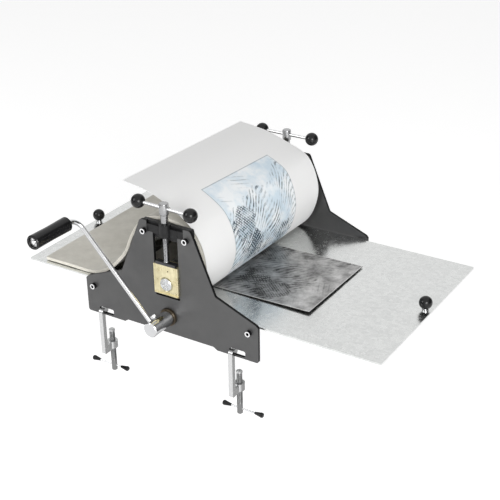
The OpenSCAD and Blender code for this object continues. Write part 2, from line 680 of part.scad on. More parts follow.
// Etched plate: thin metal with bevelled edges, lying on the bed
module etched_plate() {
    b = 0.8;
    color([0.33, 0.31, 0.3]) translate([etch_x - etch_l, etch_y - etch_w / 2, bed_top]) {
        linear_extrude(etch_t - 0.5) square([etch_l, etch_w]);
        translate([0, 0, etch_t - 0.5]) bevel(etch_l, etch_w, 0.5, b);
    }
}
// A thin block whose top is smaller than its foot by b on every side
module bevel(l, w, t, b) {
    polyhedron([[0, 0, 0], [l, 0, 0], [l, w, 0], [0, w, 0],
        [b, b, t], [l - b, b, t], [l - b, w - b, t], [b, w - b, t]],
        [[0, 1, 2, 3], [0, 4, 5, 1], [1, 5, 6, 2], [2, 6, 7, 3], [3, 7, 4, 0], [4, 7, 6, 5]]);
}

// Where each corner's clamp stands
function hook_x(c) = c % 2 == 0 ? -hook_slot_x + rear_hook_shift : hook_slot_x + front_hook_shift;
function tommy_x(c) = hook_x(c) + (c % 2 == 0 ? rear_tommy_slide : front_tommy_slide);

side(true) side_plate();  // near_side_plate
side(false) side_plate();  // far_side_plate
side(true) crosshead();  // near_crosshead
side(false) crosshead();  // far_crosshead
side(true) cap_screws();  // near_cap_screws
side(false) cap_screws();  // far_cap_screws
tie_bar(-1);  // rear_tie_bar
tie_bar(1);  // front_tie_bar
side(true) drive_bush();  // near_drive_bush
side(false) drive_bush();  // far_drive_bush
bed();
stop_stem(-1);  // rear_stop_stem
stop_stem(1);  // front_stop_stem
stop_ball(-1);  // rear_stop_ball
stop_ball(1);  // front_stop_ball
drive_roller();
crank_hub();
crank_lock_screw();
crank_rod();
grip_retainer();
crank_grip();
pressure_roller();
side(true) bearing_block();  // near_bearing_block
side(false) bearing_block();  // far_bearing_block
side(true) pad();  // near_pad
side(false) pad();  // far_pad
side(true) pressure_screw(near_tee_turn);  // near_pressure_screw
side(false) pressure_screw(-far_tee_turn);  // far_pressure_screw
side(true) tee_bar(near_tee_turn);  // near_tee_bar
side(false) tee_bar(-far_tee_turn);  // far_tee_bar
side(true) tee_balls(near_tee_turn);  // near_tee_balls
side(false) tee_balls(-far_tee_turn);  // far_tee_balls
blanket(1);  // inner_blanket
blanket(0);  // outer_blanket
paper();
etched_plate();
for (c = [0:3]) {
    side(c < 2) clamp(hook_x(c));
    side(c < 2) clamp_tip(hook_x(c));
    side(c < 2) clamp_screw(hook_x(c));
    side(c < 2) tommy_bar(tommy_x(c));
    side(c < 2) tommy_caps(tommy_x(c));
}
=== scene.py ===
import math

import bpy
from mathutils import Matrix, Vector


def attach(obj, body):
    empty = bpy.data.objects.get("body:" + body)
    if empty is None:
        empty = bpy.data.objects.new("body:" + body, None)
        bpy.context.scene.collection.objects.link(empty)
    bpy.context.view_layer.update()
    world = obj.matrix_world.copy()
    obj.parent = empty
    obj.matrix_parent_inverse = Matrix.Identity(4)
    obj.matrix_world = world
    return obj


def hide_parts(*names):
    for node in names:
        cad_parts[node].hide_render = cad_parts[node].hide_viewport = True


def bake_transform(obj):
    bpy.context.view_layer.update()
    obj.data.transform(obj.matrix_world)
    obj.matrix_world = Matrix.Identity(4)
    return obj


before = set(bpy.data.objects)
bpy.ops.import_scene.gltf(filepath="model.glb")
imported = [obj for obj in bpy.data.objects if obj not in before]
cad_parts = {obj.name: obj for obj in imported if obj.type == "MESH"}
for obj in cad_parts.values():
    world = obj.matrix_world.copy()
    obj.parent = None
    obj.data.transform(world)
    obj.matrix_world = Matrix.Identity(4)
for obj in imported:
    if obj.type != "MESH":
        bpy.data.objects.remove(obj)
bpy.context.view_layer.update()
MM = 0.001

# ---------------------------------------------------------------- view, room and light
# A press on a white studio floor, seen from the crank side a little above. Two large
# soft lamps stand left and right of the camera, and two dark flags edge the bright parts.

scene = bpy.context.scene
scene.view_settings.view_transform = "Standard"

FRAME_PX, FOCAL_PX, SENSOR_MM = 500, 1120.9, 36
CAMERA_PLACE = (0.9674, -1.46056, 0.94368)
CAMERA_TURN, CAMERA_DIP, CAMERA_TILT = 32.482, 26.381, -0.916

lens = bpy.data.cameras.new("photographer")
lens.sensor_width = SENSOR_MM
lens.lens = FOCAL_PX / FRAME_PX * SENSOR_MM
camera = bpy.data.objects.new("photographer", lens)
scene.collection.objects.link(camera)
scene.camera = camera
turned, dipped, tilted = (math.radians(a) for a in (CAMERA_TURN, CAMERA_DIP, CAMERA_TILT))
ahead = Vector((-math.sin(turned) * math.cos(dipped), math.cos(turned) * math.cos(dipped),
                -math.sin(dipped)))
level = Vector((math.cos(turned), math.sin(turned), 0))
upward = level.cross(ahead)
right = math.cos(tilted) * level + math.sin(tilted) * upward
above = math.cos(tilted) * upward - math.sin(tilted) * level
aim = Matrix((right, above, -ahead)).transposed().to_4x4()
camera.matrix_world = Matrix.Translation(CAMERA_PLACE) @ aim

# The floor lies below the crank's lowest turn. It looks white and still takes the shadow.
FLOOR, FLOOR_REACH = -0.215, 9
FLOOR_GREY, FLOOR_LIFT = 0.93, 0.42


def studio_floor():
    mesh = bpy.data.meshes.new("studio_floor")
    corners = [(x * FLOOR_REACH, y * FLOOR_REACH, FLOOR)
               for x, y in ((-1, -1), (1, -1), (1, 1), (-1, 1))]
    mesh.from_pydata(corners, [], [(0, 1, 2, 3)])
    floor = bpy.data.objects.new("studio_floor", mesh)
    scene.collection.objects.link(floor)
    mat = bpy.data.materials.new("studio_floor")
    mat.use_nodes = True
    tree = mat.node_tree
    shader = tree.nodes["Principled BSDF"]
    shader.inputs["Base Color"].default_value = (FLOOR_GREY, FLOOR_GREY, FLOOR_GREY, 1)
    shader.inputs["Roughness"].default_value = 0.9
    shader.inputs["Specular IOR Level"].default_value = 0.1
    path = tree.nodes.new("ShaderNodeLightPath")
    looked_at = tree.nodes.new("ShaderNodeMath")
    looked_at.operation = "MAXIMUM"
    tree.links.new(path.outputs["Is Camera Ray"], looked_at.inputs[0])
    tree.links.new(path.outputs["Is Glossy Ray"], looked_at.inputs[1])
    lifted = tree.nodes.new("ShaderNodeMath")
    lifted.operation = "MULTIPLY"
    lifted.inputs[1].default_value = FLOOR_LIFT
    tree.links.new(looked_at.outputs[0], lifted.inputs[0])
    shader.inputs["Emission Color"].default_value = (1, 1, 1, 1)
    tree.links.new(lifted.outputs[0], shader.inputs["Emission Strength"])
    mesh.materials.append(mat)


studio_floor()

LAMP_AIM = (0, 0, 0.05)


def soft_lamp(name, place, size, watts):
    light = bpy.data.lights.new(name, "AREA")
    light.shape = "DISK"
    light.size = size
    light.energy = watts
    lamp = bpy.data.objects.new(name, light)
    scene.collection.objects.link(lamp)
    lamp.location = place
    lamp.rotation_euler = (Vector(LAMP_AIM) - Vector(place)).to_track_quat("-Z", "Y").to_euler()


soft_lamp("print_side_lamp", (1.9, -2.0, 1.0), 1.6, 48)
soft_lamp("crank_side_lamp", (-1.6, -2.0, 1.4), 1.5, 21)

AIR_GLOW = 0.5
FLAG_WAY = (0.85, 0.53)
FLAG_START, FLAG_FULL, FLAG_DARK = 0.5, 0.86, 0.05


def studio_air():
    """White where it is looked at, a plain glow on the press, two dark flags in bright metal."""
    room = bpy.data.worlds.new("studio")
    scene.world = room
    room.use_nodes = True
    air = room.node_tree
    air.nodes.clear()

    def node(kind, **values):
        made = air.nodes.new(kind)
        for key, value in values.items():
            setattr(made, key, value)
        return made

    def math_node(kind, a, b):
        made = node("ShaderNodeMath", operation=kind)
        for socket, value in zip(made.inputs, (a, b)):
            if isinstance(value, (int, float)):
                socket.default_value = value
            else:
                air.links.new(value, socket)
        return made.outputs[0]

    way = node("ShaderNodeSeparateXYZ")
    air.links.new(node("ShaderNodeTexCoord").outputs["Generated"], way.inputs[0])
    across = math_node("ADD", math_node("MULTIPLY", way.outputs[0], FLAG_WAY[0]),
                       math_node("MULTIPLY", way.outputs[1], FLAG_WAY[1]))
    sideways = math_node("ABSOLUTE", across, 0)
    flag = node("ShaderNodeMapRange", interpolation_type="SMOOTHSTEP")
    limits = (("From Min", FLAG_START), ("From Max", FLAG_FULL),
              ("To Min", 1.0), ("To Max", FLAG_DARK))
    for socket, value in limits:
        flag.inputs[socket].default_value = value
    air.links.new(sideways, flag.inputs["Value"])
    path = node("ShaderNodeLightPath")
    backdrop = node("ShaderNodeBackground")
    mirrored = node("ShaderNodeBackground")
    air.links.new(flag.outputs["Result"], mirrored.inputs["Strength"])
    glow = node("ShaderNodeBackground")
    glow.inputs["Strength"].default_value = AIR_GLOW
    for made in (backdrop, mirrored, glow):
        made.inputs["Color"].default_value = (1, 1, 1, 1)
    in_metal, seen = node("ShaderNodeMixShader"), node("ShaderNodeMixShader")
    bent = math_node("MAXIMUM", path.outputs["Is Glossy Ray"], path.outputs["Is Transmission Ray"])
    air.links.new(bent, in_metal.inputs[0])
    air.links.new(glow.outputs[0], in_metal.inputs[1])
    air.links.new(mirrored.outputs[0], in_metal.inputs[2])
    air.links.new(path.outputs["Is Camera Ray"], seen.inputs[0])
    air.links.new(in_metal.outputs[0], seen.inputs[1])
    air.links.new(backdrop.outputs[0], seen.inputs[2])
    air.links.new(seen.outputs[0], node("ShaderNodeOutputWorld").inputs["Surface"])


studio_air()

# ---------------------------------------------------------------- side plates
# Two 5 mm steel plates, cut to one profile and powder coated dark grey. The coat has a
# fine orange peel and some dust on the broad faces. The cut edges carry a painted shade:
# near black, with weaker specular, as they catch less light.


class Finish:
    """A surface finish under construction: its material, shader and the nodes that vary it."""

    def __init__(self, name, colour, metal=0.0, rough=0.5, spec=0.5):
        self.mat = bpy.data.materials.new(name)
        self.mat.use_nodes = True
        self.tree = self.mat.node_tree
        self.shader = self.tree.nodes["Principled BSDF"]
        self.shader.inputs["Base Color"].default_value = (*colour, 1)
        self.shader.inputs["Metallic"].default_value = metal
        self.shader.inputs["Roughness"].default_value = rough
        self.shader.inputs["Specular IOR Level"].default_value = spec
        self.place = self.tree.nodes.new("ShaderNodeTexCoord").outputs["Object"]
        self.bumped = None

    def link(self, a, b):
        self.tree.links.new(a, b)

    def stretched(self, scale):
        node = self.tree.nodes.new("ShaderNodeMapping")
        node.inputs["Scale"].default_value = scale
        self.link(self.place, node.inputs["Vector"])
        return node.outputs[0]

    def noise(self, scale, detail=3.0, rough=0.5, where=None):
        node = self.tree.nodes.new("ShaderNodeTexNoise")
        node.inputs["Scale"].default_value = scale
        node.inputs["Detail"].default_value = detail
        node.inputs["Roughness"].default_value = rough
        self.link(where or self.place, node.inputs["Vector"])
        return node.outputs["Fac"]

    def cells(self, scale, where):
        node = self.tree.nodes.new("ShaderNodeTexVoronoi")
        node.inputs["Scale"].default_value = scale
        self.link(where, node.inputs["Vector"])
        return node.outputs["Color"]

    def spread(self, value, low, high, to_low=0.0, to_high=1.0, smooth=False):
        node = self.tree.nodes.new("ShaderNodeMapRange")
        node.interpolation_type = "SMOOTHSTEP" if smooth else "LINEAR"
        limits = (("From Min", low), ("From Max", high), ("To Min", to_low), ("To Max", to_high))
        for socket, number in limits:
            node.inputs[socket].default_value = number
        self.link(value, node.inputs["Value"])
        return node.outputs["Result"]

    def calc(self, kind, a, b=None, c=None):
        node = self.tree.nodes.new("ShaderNodeMath")
        node.operation = kind
        for socket, value in zip(node.inputs, (a, b, c)):
            if value is None:
                continue
            if isinstance(value, (int, float)):
                socket.default_value = value
            else:
                self.link(value, socket)
        return node.outputs[0]

    def between(self, share, low, high):
        node = self.tree.nodes.new("ShaderNodeMix")
        node.data_type = "RGBA"
        for socket, value in ((node.inputs[6], low), (node.inputs[7], high)):
            if isinstance(value, tuple):
                socket.default_value = (*value, 1)
            else:
                self.link(value, socket)
        self.link(share, node.inputs[0])
        return node.outputs[2]

    def colour(self, share, low, high):
        self.link(self.between(share, low, high), self.shader.inputs["Base Color"])
        return self

    def roughness(self, share, low, high):
        self.link(self.spread(share, 0.3, 0.7, low, high), self.shader.inputs["Roughness"])
        return self

    def split(self, vector):
        node = self.tree.nodes.new("ShaderNodeSeparateXYZ")
        self.link(vector, node.inputs[0])
        return tuple(node.outputs)

    def normal(self):
        return self.split(self.tree.nodes.new("ShaderNodeNewGeometry").outputs["Normal"])

    def facing(self, axis):
        """1 on the faces that look along that axis, 0 on the others."""
        return self.spread(self.calc("ABSOLUTE", self.normal()[axis]), 0.6, 0.85)

    def attribute(self, name):
        node = self.tree.nodes.new("ShaderNodeAttribute")
        node.attribute_name = name
        return node.outputs["Fac"]

    def relief(self, height, strength, depth):
        node = self.tree.nodes.new("ShaderNodeBump")
        node.inputs["Strength"].default_value = strength
        node.inputs["Distance"].default_value = depth
        self.link(height, node.inputs["Height"])
        if self.bumped:
            self.link(self.bumped, node.inputs["Normal"])
        self.bumped = node.outputs["Normal"]
        self.link(self.bumped, self.shader.inputs["Normal"])
        return self

    def on(self, *names):
        for name in names:
            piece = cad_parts[name]
            piece.data.materials.clear()
            piece.data.materials.append(self.mat)
        return self


def powder_coat():
    coat = Finish("dark_powder_coat", (0.06, 0.06, 0.06), rough=0.42, spec=0.6)
    dust = coat.noise(9, 5, 0.6)
    broad = coat.between(coat.spread(dust, 0.35, 0.7), (0.034, 0.034, 0.035), (0.046, 0.046, 0.046))
    # Painted shade: faces that don't look along Y, the cut edges, are coloured near black and get
    # less specular.
    face = coat.facing(1)
    coat.colour(face, (0.006, 0.006, 0.0065), broad)
    coat.link(coat.spread(face, 0, 1, 0.12, 0.85), coat.shader.inputs["Specular IOR Level"])
    coat.roughness(coat.noise(60, 3), 0.36, 0.5)
    coat.relief(coat.noise(900, 2, 0.5), 0.25, 0.0002)
    return coat


powder_coat().on("near_side_plate", "far_side_plate")

# ---------------------------------------------------------------- crossheads
# One black steel casting a side: its nose closes the plate's slot, its ears lie in the
# plate's top, its bar behind the plate, and its round boss is tapped for the screw.


def black_casting():
    black = Finish("black_casting", (0.012, 0.012, 0.012), rough=0.45, spec=0.25)
    wear = black.noise(35, 4, 0.6)
    black.colour(black.spread(wear, 0.4, 0.75), (0.008, 0.008, 0.0085), (0.022, 0.022, 0.023))
    black.roughness(black.noise(120, 3), 0.32, 0.5)
    black.relief(black.noise(700, 2), 0.3, 0.0003)
    return black


black_casting().on("near_crosshead", "far_crosshead")

# ---------------------------------------------------------------- tie bars and rollers
# Turned steel: bars tie the plates under the bed, and two solid rollers are ground
# smooth, with fine rings left by the wheel across their length.


def ground_steel():
    steel = Finish("ground_steel", (0.6, 0.61, 0.62), metal=1.0, rough=0.24)
    marks = steel.noise(1400, 2, 0.6, steel.stretched((0.02, 1, 0.02)))
    steel.colour(marks, (0.5, 0.51, 0.52), (0.68, 0.69, 0.7))
    steel.roughness(marks, 0.18, 0.34)
    steel.relief(marks, 0.12, 0.0001)
    return steel


ground_steel().on("drive_roller", "pressure_roller", "rear_tie_bar", "front_tie_bar")

# ---------------------------------------------------------------- bushes and bearing blocks
# The pressure roller runs in two brass blocks that slide in the plates' slots, milled
# and lightly aged. The drive roller runs in flanged bronze bushes, dark with oil.


def milled_brass():
    brass = Finish("milled_brass", (0.75, 0.66, 0.4), metal=0.8, rough=0.34)
    along = brass.noise(420, 4, 0.65, brass.stretched((1, 1, 0.06)))
    stain = brass.noise(55, 4, 0.6)
    tone = brass.calc("ADD", brass.calc("MULTIPLY", along, 0.45),
                      brass.calc("MULTIPLY", stain, 0.55))
    brass.colour(brass.spread(tone, 0.32, 0.66), (0.5, 0.43, 0.24), (0.84, 0.78, 0.54))
    brass.roughness(stain, 0.24, 0.42)
    brass.relief(along, 0.2, 0.0002)
    return brass


def oiled_bronze():
    bronze = Finish("oiled_bronze", (0.06, 0.045, 0.03), metal=0.7, rough=0.35)
    bronze.colour(bronze.noise(90, 4, 0.6), (0.025, 0.02, 0.015), (0.1, 0.075, 0.045))
    bronze.roughness(bronze.noise(200, 3), 0.26, 0.46)
    bronze.relief(bronze.noise(900, 2), 0.15, 0.0001)
    return bronze


milled_brass().on("near_bearing_block", "far_bearing_block")
oiled_bronze().on("near_drive_bush", "far_drive_bush")

# ---------------------------------------------------------------- pads
# A small blued steel bar lies on each bearing block and takes the screw's point. It is
# ground flat, and its blueing is a little cloudy.


def blued_steel():
    blue = Finish("blued_steel", (0.06, 0.06, 0.065), metal=0.8, rough=0.38)
    blue.colour(blue.noise(130, 4), (0.035, 0.035, 0.04), (0.11, 0.11, 0.115))
    blue.roughness(blue.noise(220, 3), 0.3, 0.5)
    blue.relief(blue.noise(900, 2), 0.2, 0.0002)
    return blue


blued_steel().on("near_pad", "far_pad")

# ---------------------------------------------------------------- bed
# One sheet of 3 mm galvanised steel, cut to size, with pale spangles and fine scuffs
# from the plates that have been slid over it. It runs between the two rollers.


def galvanised_bed():
    bed = Finish("galvanised_bed", (0.68, 0.69, 0.69), metal=1.0, rough=0.2)
    spangle = bed.cells(170, bed.stretched((1, 1, 0.2)))
    fine = bed.noise(420, 5, 0.7)
    broad = bed.noise(18, 4, 0.6)
    split = bed.tree.nodes.new("ShaderNodeSeparateColor")
    bed.link(spangle, split.inputs[0])
    small = bed.calc("ADD", bed.calc("MULTIPLY", split.outputs[0], 0.3),
                     bed.calc("MULTIPLY", fine, 0.7))
    tone = bed.calc("ADD", bed.calc("MULTIPLY", small, 0.8), bed.calc("MULTIPLY", broad, 0.2))
    bed.colour(bed.spread(tone, 0.25, 0.72), (0.6, 0.61, 0.605), (0.76, 0.77, 0.76))
    bed.roughness(tone, 0.14, 0.3)
    bed.relief(fine, 0.06, 0.0002)
    return bed


galvanised_bed().on("bed")

# ---------------------------------------------------------------- stop knobs and handle balls
# Black phenolic balls, glossy, on chrome stems that pass through the bed and on the
# ends of the T bars. Handling has left faint smears in the gloss.


def polished_chrome(name, bright, rough):
    """Hazed chrome, with a painted shade on the faces that look down."""
    chrome = Finish(name, (bright,) * 3, metal=1.0, rough=rough)
    haze = chrome.noise(90, 4, 0.6)
    lit = chrome.between(haze, (bright * 0.93, bright * 0.94, bright * 0.96), (bright * 1.07,) * 3)
    # Painted shade and dark reflection: faces that look down are coloured dark, as if mirroring the
    # press below.
    looks_up = chrome.spread(chrome.normal()[2], -0.75, 0.35, smooth=True)
    chrome.colour(looks_up, (0.16, 0.16, 0.165), lit)
    chrome.roughness(haze, rough - 0.03, rough + 0.07)
    return chrome


chrome = polished_chrome("polished_chrome", 0.71, 0.09)
chrome.on("rear_stop_stem", "front_stop_stem", "near_tee_bar", "far_tee_bar")


def moulded_black():
    black = Finish("moulded_black", (0.01, 0.01, 0.0105), rough=0.2, spec=0.3)
    smear = black.noise(70, 4, 0.6)
    black.colour(smear, (0.007, 0.007, 0.0075), (0.014, 0.014, 0.0145))
    black.roughness(smear, 0.1, 0.26)
    return black


gloss_black = moulded_black()
gloss_black.on("rear_stop_ball", "front_stop_ball", "near_tee_balls", "far_tee_balls")

# ---------------------------------------------------------------- pressure screws
# Turned and dull chromed with their hubs; the M10 thread runs from the pad up through the
# crosshead's boss and ends under a plain neck, which the hub crowns.

THREAD_PITCH, THREAD_ROWS, THREAD_RUN_OUT = 1.5, 8, 1.5
KNURL_DEPTH = 0.22


def turned_piece(name, steps, places, axis="Z", depth=0.0, sides=40):
    """Lathe-turned solids from (radius, height, kind) steps in mm, one at each place. A "cut"
    stretch carries a V thread of that depth, "hex" makes a ring six-sided, "knurl" ridges it."""
    pitch, rings = THREAD_PITCH, THREAD_ROWS
    rows = []
    for (r0, z0, kind), (r1, z1, _) in zip(steps, steps[1:] + [steps[-1]]):
        rows.append((r0, z0, 0.0, kind))
        if kind == "cut":
            count = int(abs(z1 - z0) / pitch * rings)
            for i in range(count + 1):
                share = i / count
                turns = count / rings / THREAD_RUN_OUT
                ease = min(1, share * turns, (1 - share) * turns)
                rows.append((r0, z0 + (z1 - z0) * share, depth * max(0, ease), ""))
    verts, faces = [], []
    for x, y, z in places:
        first = len(verts)
        for r, h, cut, kind in rows:
            for k in range(sides):
                a = 2 * math.pi * k / sides
                phase = (h / pitch - k / sides) % 1
                rr = r - cut * (1 - abs(2 * phase - 1))
                if kind == "hex":
                    rr = r / math.cos((a + math.pi / 6) % (math.pi / 3) - math.pi / 6)
                if kind == "knurl" and k % 2:
                    rr = r - KNURL_DEPTH
                spot = (rr * math.cos(a), rr * math.sin(a), h)
                if axis == "Y":
                    spot = (spot[0], spot[2], -spot[1])
                verts.append(((x + spot[0]) * MM, (y + spot[1]) * MM, (z + spot[2]) * MM))
        for j in range(len(rows) - 1):
            for k in range(sides):
                n = (k + 1) % sides
                q = (j * sides + k, j * sides + n, (j + 1) * sides + n, (j + 1) * sides + k)
                faces.append(tuple(first + i for i in q))
        faces.append(tuple(first + i for i in range(sides))[::-1])
        faces.append(tuple(first + i for i in range((len(rows) - 1) * sides, len(rows) * sides)))
    if steps[0][1] > steps[-1][1]:
        faces = [f[::-1] for f in faces]
    mesh = bpy.data.meshes.new(name)
    mesh.from_pydata(verts, [], faces)
    mesh.update()
    piece = bpy.data.objects.new(name, mesh)
    scene.collection.objects.link(piece)
    mesh.polygons.foreach_set("use_smooth", [True] * len(faces))
    mesh.set_sharp_from_angle(angle=math.radians(32))
    return piece


def dressed(piece, finish, slot, body, *nodes):
    piece.data.materials.append(finish.mat)
    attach(piece, body)
    if nodes:
        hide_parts(*nodes)
    return piece


SCREW_Y = 189
THREAD_LOW, NECK, HUB, HUB_TOP = 134.95, 203.9, 218.0, 238.0
SPINDLE_STEPS = [
    (0.01, THREAD_LOW - 1.8, ""), (3.3, THREAD_LOW - 1.8, ""), (3.4, THREAD_LOW, ""),
    (4.1, THREAD_LOW, ""), (4.95, THREAD_LOW + 1, "cut"), (4.95, NECK - 1, ""),
    (4.3, NECK - 0.6, ""), (4.3, NECK, ""), (5.9, NECK + 0.7, ""), (5.95, NECK + 1, ""),
    (5.95, HUB - 0.4, ""), (6.6, HUB, ""), (7.7, HUB + 1.2, ""), (7.75, HUB + 1.5, ""),
    (7.75, HUB_TOP - 2, ""), (7.4, HUB_TOP - 0.8, ""), (6.2, HUB_TOP, ""), (0.01, HUB_TOP, "")]
spindle_steel = polished_chrome("spindle_steel", 0.4, 0.24)
for side, y in (("near", -SCREW_Y), ("far", SCREW_Y)):
    screw = turned_piece(f"{side}_pressure_spindle", SPINDLE_STEPS, [(0, y, 0)], depth=0.8)
    dressed(screw, spindle_steel, "chrome", f"{side}_screw", f"{side}_pressure_screw")

# ---------------------------------------------------------------- cap screws
# Socket cap screws of zinc plated steel hold the crossheads and the tie bars. The heads
# are knurled, with a bright turned ring about each socket; their sides and sockets are
# painted near black as shade.


def zinc_plate(name, bright, rough, end_shade=1.0):
    """Cloudy zinc plating; end_shade paints shade on the faces that look along the bed."""
    zinc = Finish(name, (bright,) * 3, metal=1.0, rough=rough)
    cloud = zinc.noise(140, 4, 0.6)
    face = zinc.between(cloud, (bright * 0.9, bright * 0.91, bright * 0.93),
                        (bright * 1.1, bright * 1.1, bright * 1.09))
    # Painted shade: the faces that look along the bed take bright * end_shade.
    zinc.colour(zinc.facing(0), face, (bright * end_shade,) * 3)
    zinc.roughness(zinc.noise(320, 3), rough - 0.06, rough + 0.12)
    zinc.relief(zinc.noise(1500, 2), 0.15, 0.0001)
    return zinc


def screw_head_steel():
    steel = Finish("screw_head_steel", (0.5, 0.5, 0.51), metal=1.0, rough=0.25)
    cloud = steel.between(steel.noise(160, 4), (0.72, 0.72, 0.73), (0.92, 0.92, 0.93))
    # Painted shade: all but the turned ring about each socket is coloured near black.
    steel.colour(steel.attribute("unshaded_ring"), (0.035, 0.035, 0.038), cloud)
    steel.roughness(steel.noise(320, 3), 0.2, 0.4)
    steel.relief(steel.noise(1500, 2), 0.15, 0.0001)
    return steel


head_steel = screw_head_steel()
PLATE_FACE, CAP_SIDES = 190, 48
CAP_PLACES = ((-40.5, 182), (40.5, 182), (-154.5, 51.2), (154.5, 51.2))
CAP_STEPS = [
    (0.01, 2.2, ""), (2.45, 2.4, "hex"), (2.5, 5.6, "hex"), (2.9, 6.0, ""), (4.7, 6.0, ""),
    (4.95, 5.6, "knurl"), (4.95, 0.4, "knurl"), (4.6, 0.05, ""), (2.95, 0.05, ""),
    (2.95, -11.6, ""), (0.01, -12.0, "")]
RING_STEPS = (3, 4)
for side, s in (("near", -1), ("far", 1)):
    places = [(x, s * PLATE_FACE, z) for x, z in CAP_PLACES]
    steps = [(r, s * h, kind) for r, h, kind in CAP_STEPS]
    heads = turned_piece(f"{side}_cap_screw_set", steps, places, "Y", sides=CAP_SIDES)
    bright = heads.data.attributes.new("unshaded_ring", "FLOAT", "POINT")
    count = CAP_SIDES * len(steps) * len(places)
    ring = [float(i // CAP_SIDES % len(steps) in RING_STEPS) for i in range(count)]
    bright.data.foreach_set("value", ring)
    dressed(heads, head_steel, "zinc", "frame", f"{side}_cap_screws")

# ---------------------------------------------------------------- crank
# A chromed hub on the drive shaft, a bright rod through it held by a hex screw, and a
# black grip that turns freely on the rod's bent end behind a riveted washer.

chrome.on("crank_hub", "crank_rod")
zinc_plate("fastener_zinc", 0.74, 0.27).on("crank_lock_screw", "grip_retainer")
gloss_black.on("crank_grip")

# ---------------------------------------------------------------- table clamps
# Each clamp is a square zinc plated bar hooked through the plate. Its duller screw has
# an M10 thread, a plain head with a sliding tommy bar, and a tip that swivels.

# The clamps' faces that look along the bed get a painted shade, at 0.45 of their brightness.
clamp_zinc = zinc_plate("clamp_zinc", 0.6, 0.28, 0.45)
jack_zinc = zinc_plate("jack_zinc", 0.22, 0.3)
JACK_STEPS = [
    (0.01, -41.3, ""), (4.1, -41.2, ""), (4.9, -42.2, "cut"), (4.9, -100, ""),
    (4.95, -100.5, ""), (4.95, -118.6, ""), (4.0, -119.6, ""), (0.01, -119.6, "")]
jack_places = {"near_rear": (-139, -172.5), "near_front": (123, -172.5),
               "far_rear": (-139, 172.5), "far_front": (123, 172.5)}
for corner, (x, y) in jack_places.items():
    clamp_zinc.on(f"{corner}_clamp", f"{corner}_clamp_tip")
    chrome.on(f"{corner}_tommy_bar")
    gloss_black.on(f"{corner}_tommy_caps")
    jack = turned_piece(f"{corner}_jack_screw", JACK_STEPS, [(x, y, 0)], depth=0.75)
    dressed(jack, jack_zinc, "zinc", f"{corner}_jack", f"{corner}_clamp_screw")

# ---------------------------------------------------------------- etched plate
# A thin zinc plate with bevelled edges, bitten and inked, that the rollers have curled
# up a little at its front. Its picture is a made-up one, of hills over a lake, in short
# strokes that hold the ink.


